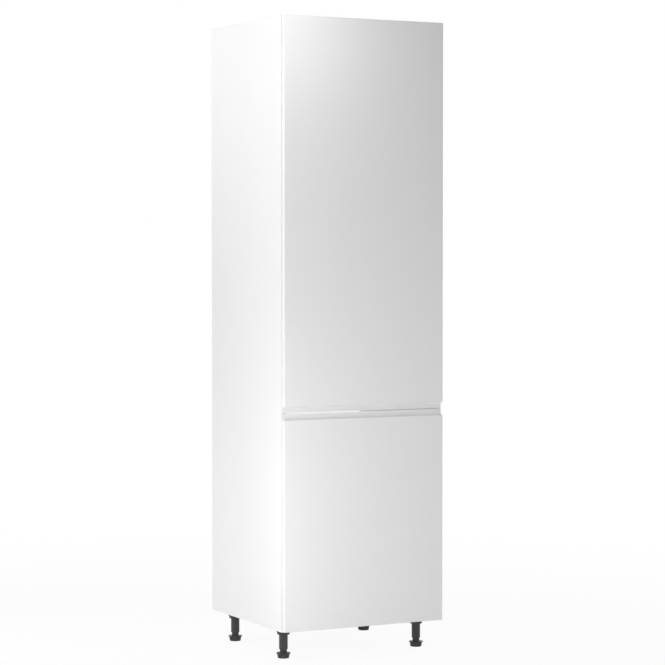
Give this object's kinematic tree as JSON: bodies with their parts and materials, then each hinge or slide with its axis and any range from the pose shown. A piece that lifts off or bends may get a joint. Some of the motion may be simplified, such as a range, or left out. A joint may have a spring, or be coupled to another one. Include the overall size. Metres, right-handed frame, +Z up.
{
  "type": "tall kitchen housing",
  "caption": "Tall white two-door kitchen housing on screw legs, with an open-backed niche, milled finger grips and concealed four-bar hinges.",
  "frame": {"origin": "on the floor, under the middle of the outer box", "axes": "+X to the right seen from the front, +Y to the rear, +Z up"},
  "size_m": [0.6, 0.58, 2.13],
  "materials": {
    "door_gloss": "fibreboard wrapped in glossy white foil",
    "carcass_board": "particle board faced in satin white melamine, with white edge bands",
    "back_board": "thin hardboard lacquered white on its front",
    "hinge_steel": "nickel-plated pressed steel",
    "bracket_steel": "zinc-plated sheet steel",
    "leg_plastic": "moulded black plastic, satin",
    "bumper_rubber": "clear soft pad"
  },
  "bodies": {
    "carcass": {"side_panel_left": "carcass_board", "side_panel_right": "carcass_board", "bottom_panel": "carcass_board", "fixed_shelf": "carcass_board", "top_panel": "carcass_board", "rear_rail_lower": "carcass_board", "rear_rail_middle": "carcass_board", "rear_rail_upper": "carcass_board", "back_panel": "back_board", "lower_hinge_1_arm": "hinge_steel", "lower_hinge_1_plate": "hinge_steel", "lower_hinge_2_arm": "hinge_steel", "lower_hinge_2_plate": "hinge_steel", "upper_hinge_1_arm": "hinge_steel", "upper_hinge_1_plate": "hinge_steel", "upper_hinge_2_arm": "hinge_steel", "upper_hinge_2_plate": "hinge_steel", "upper_hinge_3_arm": "hinge_steel", "upper_hinge_3_plate": "hinge_steel", "leg_socket_front_left": "leg_plastic", "leg_tube_front_left": "leg_plastic", "leg_socket_front_right": "leg_plastic", "leg_tube_front_right": "leg_plastic", "leg_socket_rear_left": "leg_plastic", "leg_tube_rear_left": "leg_plastic", "leg_socket_rear_right": "leg_plastic", "leg_tube_rear_right": "leg_plastic", "wall_bracket_left": "bracket_steel", "wall_bracket_right": "bracket_steel"},
    "lower_outer_links": {"lower_hinge_1_outer_link": "hinge_steel", "lower_hinge_2_outer_link": "hinge_steel"},
    "lower_door": {"lower_door": "door_gloss", "lower_hinge_1_cup": "hinge_steel", "lower_hinge_2_cup": "hinge_steel", "lower_door_bumper_bottom": "bumper_rubber", "lower_door_bumper_top": "bumper_rubber"},
    "lower_inner_links": {"lower_hinge_1_inner_link": "hinge_steel", "lower_hinge_2_inner_link": "hinge_steel"},
    "upper_outer_links": {"upper_hinge_1_outer_link": "hinge_steel", "upper_hinge_2_outer_link": "hinge_steel", "upper_hinge_3_outer_link": "hinge_steel"},
    "upper_door": {"upper_door": "door_gloss", "upper_hinge_1_cup": "hinge_steel", "upper_hinge_2_cup": "hinge_steel", "upper_hinge_3_cup": "hinge_steel", "upper_door_bumper_bottom": "bumper_rubber", "upper_door_bumper_top": "bumper_rubber"},
    "upper_inner_links": {"upper_hinge_1_inner_link": "hinge_steel", "upper_hinge_2_inner_link": "hinge_steel", "upper_hinge_3_inner_link": "hinge_steel"},
    "foot_front_left": {"foot_front_left": "leg_plastic"},
    "foot_front_right": {"foot_front_right": "leg_plastic"},
    "foot_rear_left": {"foot_rear_left": "leg_plastic"},
    "foot_rear_right": {"foot_rear_right": "leg_plastic"}
  },
  "joints": [
    {"name": "lower_door_swing", "type": "hinge", "parent": "lower_outer_links", "child": "lower_door", "pos_m": [0.2892, -0.2738, 0.462], "axis": [0, 0, 1], "range_deg": [0, 114]},
    {"name": "lower_outer_link_swing", "type": "hinge", "parent": "carcass", "child": "lower_outer_links", "pos_m": [0.258, -0.2486, 0.462], "axis": [0, 0, 1], "range_deg": [-19.1, 0]},
    {"name": "lower_inner_link_swing", "type": "hinge", "parent": "lower_door", "child": "lower_inner_links", "pos_m": [0.2854, -0.2775, 0.462], "axis": [0, 0, 1], "range_deg": [-123.6, 0]},
    {"name": "upper_door_swing", "type": "hinge", "parent": "upper_outer_links", "child": "upper_door", "pos_m": [0.2892, -0.2738, 1.4765], "axis": [0, 0, 1], "range_deg": [0, 114]},
    {"name": "upper_outer_link_swing", "type": "hinge", "parent": "carcass", "child": "upper_outer_links", "pos_m": [0.258, -0.2486, 1.4765], "axis": [0, 0, 1], "range_deg": [-19.1, 0]},
    {"name": "upper_inner_link_swing", "type": "hinge", "parent": "upper_door", "child": "upper_inner_links", "pos_m": [0.2854, -0.2775, 1.4765], "axis": [0, 0, 1], "range_deg": [-123.6, 0]},
    {"name": "foot_height_front_left", "type": "slide", "parent": "carcass", "child": "foot_front_left", "axis": [0, 0, 1], "range_m": [-0.015, 0.01]},
    {"name": "foot_height_front_right", "type": "slide", "parent": "carcass", "child": "foot_front_right", "axis": [0, 0, 1], "range_m": [-0.015, 0.01]},
    {"name": "foot_height_rear_left", "type": "slide", "parent": "carcass", "child": "foot_rear_left", "axis": [0, 0, 1], "range_m": [-0.015, 0.01]},
    {"name": "foot_height_rear_right", "type": "slide", "parent": "carcass", "child": "foot_rear_right", "axis": [0, 0, 1], "range_m": [-0.015, 0.01]}
  ],
  "couplings": [
    {"joint": "lower_outer_link_swing", "follows": "lower_door_swing", "ratio": -0.16667},
    {"joint": "lower_inner_link_swing", "follows": "lower_door_swing", "ratio": -1.0833},
    {"joint": "upper_outer_link_swing", "follows": "upper_door_swing", "ratio": -0.16667},
    {"joint": "upper_inner_link_swing", "follows": "upper_door_swing", "ratio": -1.0833}
  ]
}
